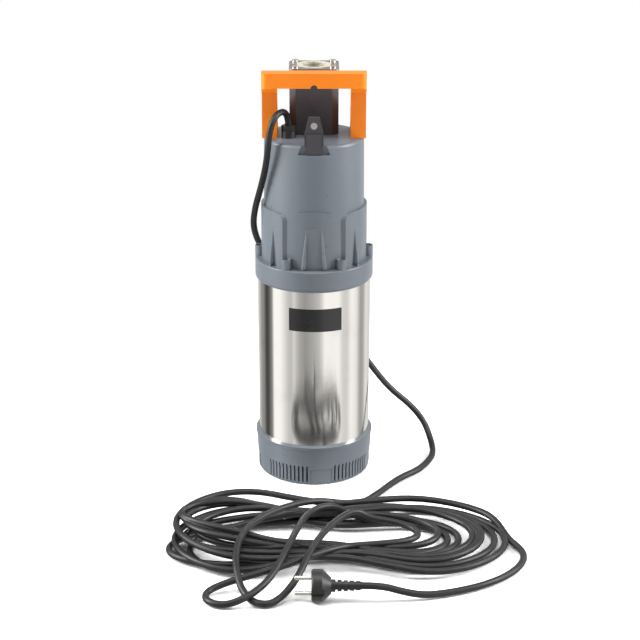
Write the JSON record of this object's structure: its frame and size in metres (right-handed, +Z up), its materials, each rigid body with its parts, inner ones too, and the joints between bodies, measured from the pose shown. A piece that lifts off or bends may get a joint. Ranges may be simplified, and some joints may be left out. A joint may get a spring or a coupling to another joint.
{
  "type": "submersible pump",
  "caption": "Upright multistage submersible water pump with steel sleeve, slotted strainer base, moulded head, carrying handle, square outlet riser and a looped mains cord.",
  "frame": {"origin": "middle of the strainer base's underside, on the pump's axis", "axes": "+Z up along the shaft, -Y towards the front with the eye plate, +X to the right seen from the front"},
  "size_m": [0.4208, 0.4857, 0.522],
  "materials": {
    "head_plastic": "fine moulded texture",
    "riser_plastic": "fine moulded texture",
    "handle_plastic": "satin",
    "stainless": "polished",
    "zinc_screw": "bright zinc",
    "outlet_alloy": "cast",
    "outlet_insert": "moulded",
    "stage_plastic": "glass filled",
    "motor_alloy": "die cast",
    "core_steel": "laminated",
    "copper": "varnished",
    "ceramic_seal": "lapped",
    "cord_rubber": "smooth sheath",
    "black_plastic": "moulded",
    "pin_metal": "nickel plated"
  },
  "bodies": {
    "root": {"base_screws": "zinc_screw", "bracket_screw": "zinc_screw", "capacitor": "outlet_insert", "capacitor_seat": "black_plastic", "cord_drop": "cord_rubber", "cord_hank": "cord_rubber", "cord_tail": "cord_rubber", "discharge_ring": "stage_plastic", "flange_ring": "head_plastic", "flange_screws": "zinc_screw", "front_bracket": "riser_plastic", "gland_body": "black_plastic", "gland_nut": "black_plastic", "handle": "handle_plastic", "handle_screws": "zinc_screw", "head_housing": "head_plastic", "lower_bearing": "zinc_screw", "motor_bottom_shield": "motor_alloy", "motor_can": "stainless", "motor_top_shield": "motor_alloy", "outlet_plate": "outlet_alloy", "outlet_ring": "outlet_insert", "outlet_screws": "zinc_screw", "plug_body": "black_plastic", "plug_pins": "pin_metal", "plug_relief": "black_plastic", "riser": "riser_plastic", "seal_seat": "ceramic_seal", "stage_casing_1": "stage_plastic", "stage_casing_2": "stage_plastic", "stage_casing_3": "stage_plastic", "stage_casing_4": "stage_plastic", "stator_core": "core_steel", "stator_windings": "copper", "steel_sleeve": "stainless", "strainer_base": "head_plastic", "suction_cover": "stage_plastic", "terminal_block": "outlet_insert", "tie_rods": "stainless", "upper_bearing": "zinc_screw", "valve_guide": "stage_plastic", "valve_seat": "stage_plastic", "valve_spring": "stainless"},
    "rotor": {"impeller_1": "stage_plastic", "impeller_2": "stage_plastic", "impeller_3": "stage_plastic", "impeller_4": "stage_plastic", "impeller_nut": "stainless", "pump_shaft": "stainless", "rotor_core": "core_steel", "seal_rotating_face": "ceramic_seal"},
    "poppet": {"valve_poppet": "stage_plastic"}
  },
  "joints": [
    {"name": "shaft_spin", "type": "hinge", "parent": "root", "child": "rotor", "pos_m": [0, 0, 0.14], "axis": [0, 0, 1], "continuous": true},
    {"name": "valve_lift", "type": "slide", "parent": "root", "child": "poppet", "axis": [0, 0, 1], "range_m": [0, 0.008], "stiffness_N_per_m": 40, "springref_m": -0.01, "deforming": ["valve_spring"]}
  ]
}
